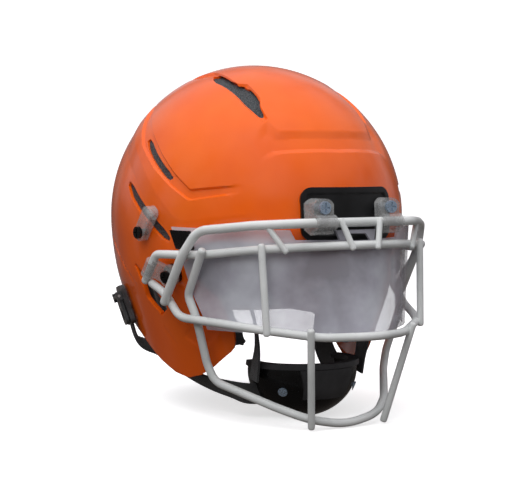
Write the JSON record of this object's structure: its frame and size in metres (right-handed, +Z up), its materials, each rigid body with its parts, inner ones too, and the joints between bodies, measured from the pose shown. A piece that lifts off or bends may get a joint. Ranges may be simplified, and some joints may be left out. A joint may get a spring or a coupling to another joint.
{
  "type": "american football helmet",
  "caption": "Football helmet: glossy slotted shell, padded liner, white wire facemask with smoke visor on loop clips, and a hard chin cup hung on four webbing straps with cam buckles.",
  "frame": {"origin": "below the middle of the whole object, level with its lowest point", "axes": "+Z up through the crown, -Y out of the face, +X towards the wearer's left"},
  "size_m": [0.2642, 0.3398, 0.3035],
  "materials": {
    "shell_plastic": "glossy injection-moulded shell",
    "black_rubber": "satin rubber",
    "dark_foam": "covered foam",
    "jaw_foam": "ridged cushioning skin",
    "grey_sheet": "grained flexible sheet",
    "coated_wire": "satin powder coat over steel wire",
    "smoke_lens": "light smoke clear sheet",
    "black_plastic": "satin",
    "clear_plastic": "translucent clear strap clip",
    "screw_steel": "turned",
    "webbing": "woven webbing",
    "cup_trim": "soft trim",
    "stud_brass": "plated",
    "buckle_plastic": "moulded"
  },
  "bodies": {
    "helmet": {"back_pad": "dark_foam", "brow_clip_left": "clear_plastic", "brow_clip_right": "clear_plastic", "buckle_base_left": "buckle_plastic", "buckle_base_right": "buckle_plastic", "buckle_pin_left": "stud_brass", "buckle_pin_right": "stud_brass", "clip_nuts": "screw_steel", "crown_pad": "dark_foam", "crown_underlay_left": "grey_sheet", "crown_underlay_right": "grey_sheet", "front_bumper": "black_rubber", "front_pad": "dark_foam", "jaw_pad_left": "jaw_foam", "jaw_pad_right": "jaw_foam", "lower_strap_left": "webbing", "lower_strap_right": "webbing", "nape_pad": "dark_foam", "rear_bumper": "black_rubber", "rear_underlay_left": "grey_sheet", "rear_underlay_right": "grey_sheet", "shell": "shell_plastic", "side_pad_left": "dark_foam", "side_pad_right": "dark_foam", "side_receiver_left": "black_plastic", "side_receiver_right": "black_plastic", "side_underlay_left": "grey_sheet", "side_underlay_right": "grey_sheet", "strap_stud_left": "stud_brass", "strap_stud_right": "stud_brass", "upper_clip_left": "clear_plastic", "upper_clip_right": "clear_plastic", "upper_strap_left": "webbing", "upper_strap_right": "webbing"},
    "facemask": {"facemask": "coated_wire", "visor": "smoke_lens", "visor_tag_left": "black_plastic", "visor_tag_right": "black_plastic", "side_clip_left": "clear_plastic", "side_clip_right": "clear_plastic"},
    "chin_cup": {"cup_shell": "black_plastic", "cup_liner": "dark_foam", "cup_panel": "cup_trim", "cup_lip": "cup_trim", "cup_rivets": "screw_steel"},
    "brow_screw_left": {"brow_screw_left": "screw_steel"},
    "brow_screw_right": {"brow_screw_right": "screw_steel"},
    "upper_screw_left": {"upper_screw_left": "screw_steel"},
    "upper_screw_right": {"upper_screw_right": "screw_steel"},
    "side_screw_left": {"side_screw_left": "screw_steel"},
    "side_screw_right": {"side_screw_right": "screw_steel"},
    "buckle_lever_left": {"buckle_lever_left": "buckle_plastic"},
    "buckle_lever_right": {"buckle_lever_right": "buckle_plastic"}
  },
  "joints": [
    {"name": "facemask_swing", "type": "hinge", "parent": "helmet", "child": "facemask", "pos_m": [0, -0.14154, 0.1707], "axis": [1, 0, 0], "range_deg": [-100, 0]},
    {"name": "chin_cup_swing", "type": "hinge", "parent": "helmet", "child": "chin_cup", "pos_m": [0, -0.05204, 0.1215], "axis": [1, 0, 0], "range_deg": [-8, 8], "stiffness_Nm_per_rad": 4, "deforming": ["upper_strap_left", "upper_strap_right", "lower_strap_left", "lower_strap_right"]},
    {"name": "brow_screw_turn_left", "type": "hinge", "parent": "helmet", "child": "brow_screw_left", "pos_m": [0.0326, -0.14104, 0.1827], "axis": [0, -1, 0], "range_deg": [0, 90]},
    {"name": "brow_screw_turn_right", "type": "hinge", "parent": "helmet", "child": "brow_screw_right", "pos_m": [-0.0326, -0.14104, 0.1827], "axis": [0, -1, 0], "range_deg": [0, 90]},
    {"name": "upper_screw_turn_left", "type": "hinge", "parent": "helmet", "child": "upper_screw_left", "pos_m": [0.12898, -0.0021, 0.15809], "axis": [0.9899, -0.1321, -0.0519], "range_deg": [0, 90]},
    {"name": "upper_screw_turn_right", "type": "hinge", "parent": "helmet", "child": "upper_screw_right", "pos_m": [-0.12898, -0.0021, 0.15809], "axis": [-0.9899, -0.1321, -0.0519], "range_deg": [0, 90]},
    {"name": "side_screw_turn_left", "type": "hinge", "parent": "facemask", "child": "side_screw_left", "pos_m": [0.11514, -0.03285, 0.12318], "axis": [0.928, -0.301, -0.2197], "range_deg": [0, 90]},
    {"name": "side_screw_turn_right", "type": "hinge", "parent": "facemask", "child": "side_screw_right", "pos_m": [-0.11514, -0.03285, 0.12318], "axis": [-0.928, -0.301, -0.2197], "range_deg": [0, 90]},
    {"name": "buckle_lever_turn_left", "type": "hinge", "parent": "helmet", "child": "buckle_lever_left", "pos_m": [0.11302, 0.0695, 0.09638], "axis": [0.3182, -0.9326, 0.1701], "range_deg": [0, 60]},
    {"name": "buckle_lever_turn_right", "type": "hinge", "parent": "helmet", "child": "buckle_lever_right", "pos_m": [-0.11302, 0.0695, 0.09638], "axis": [0.3182, 0.9326, -0.1701], "range_deg": [0, 60]}
  ]
}
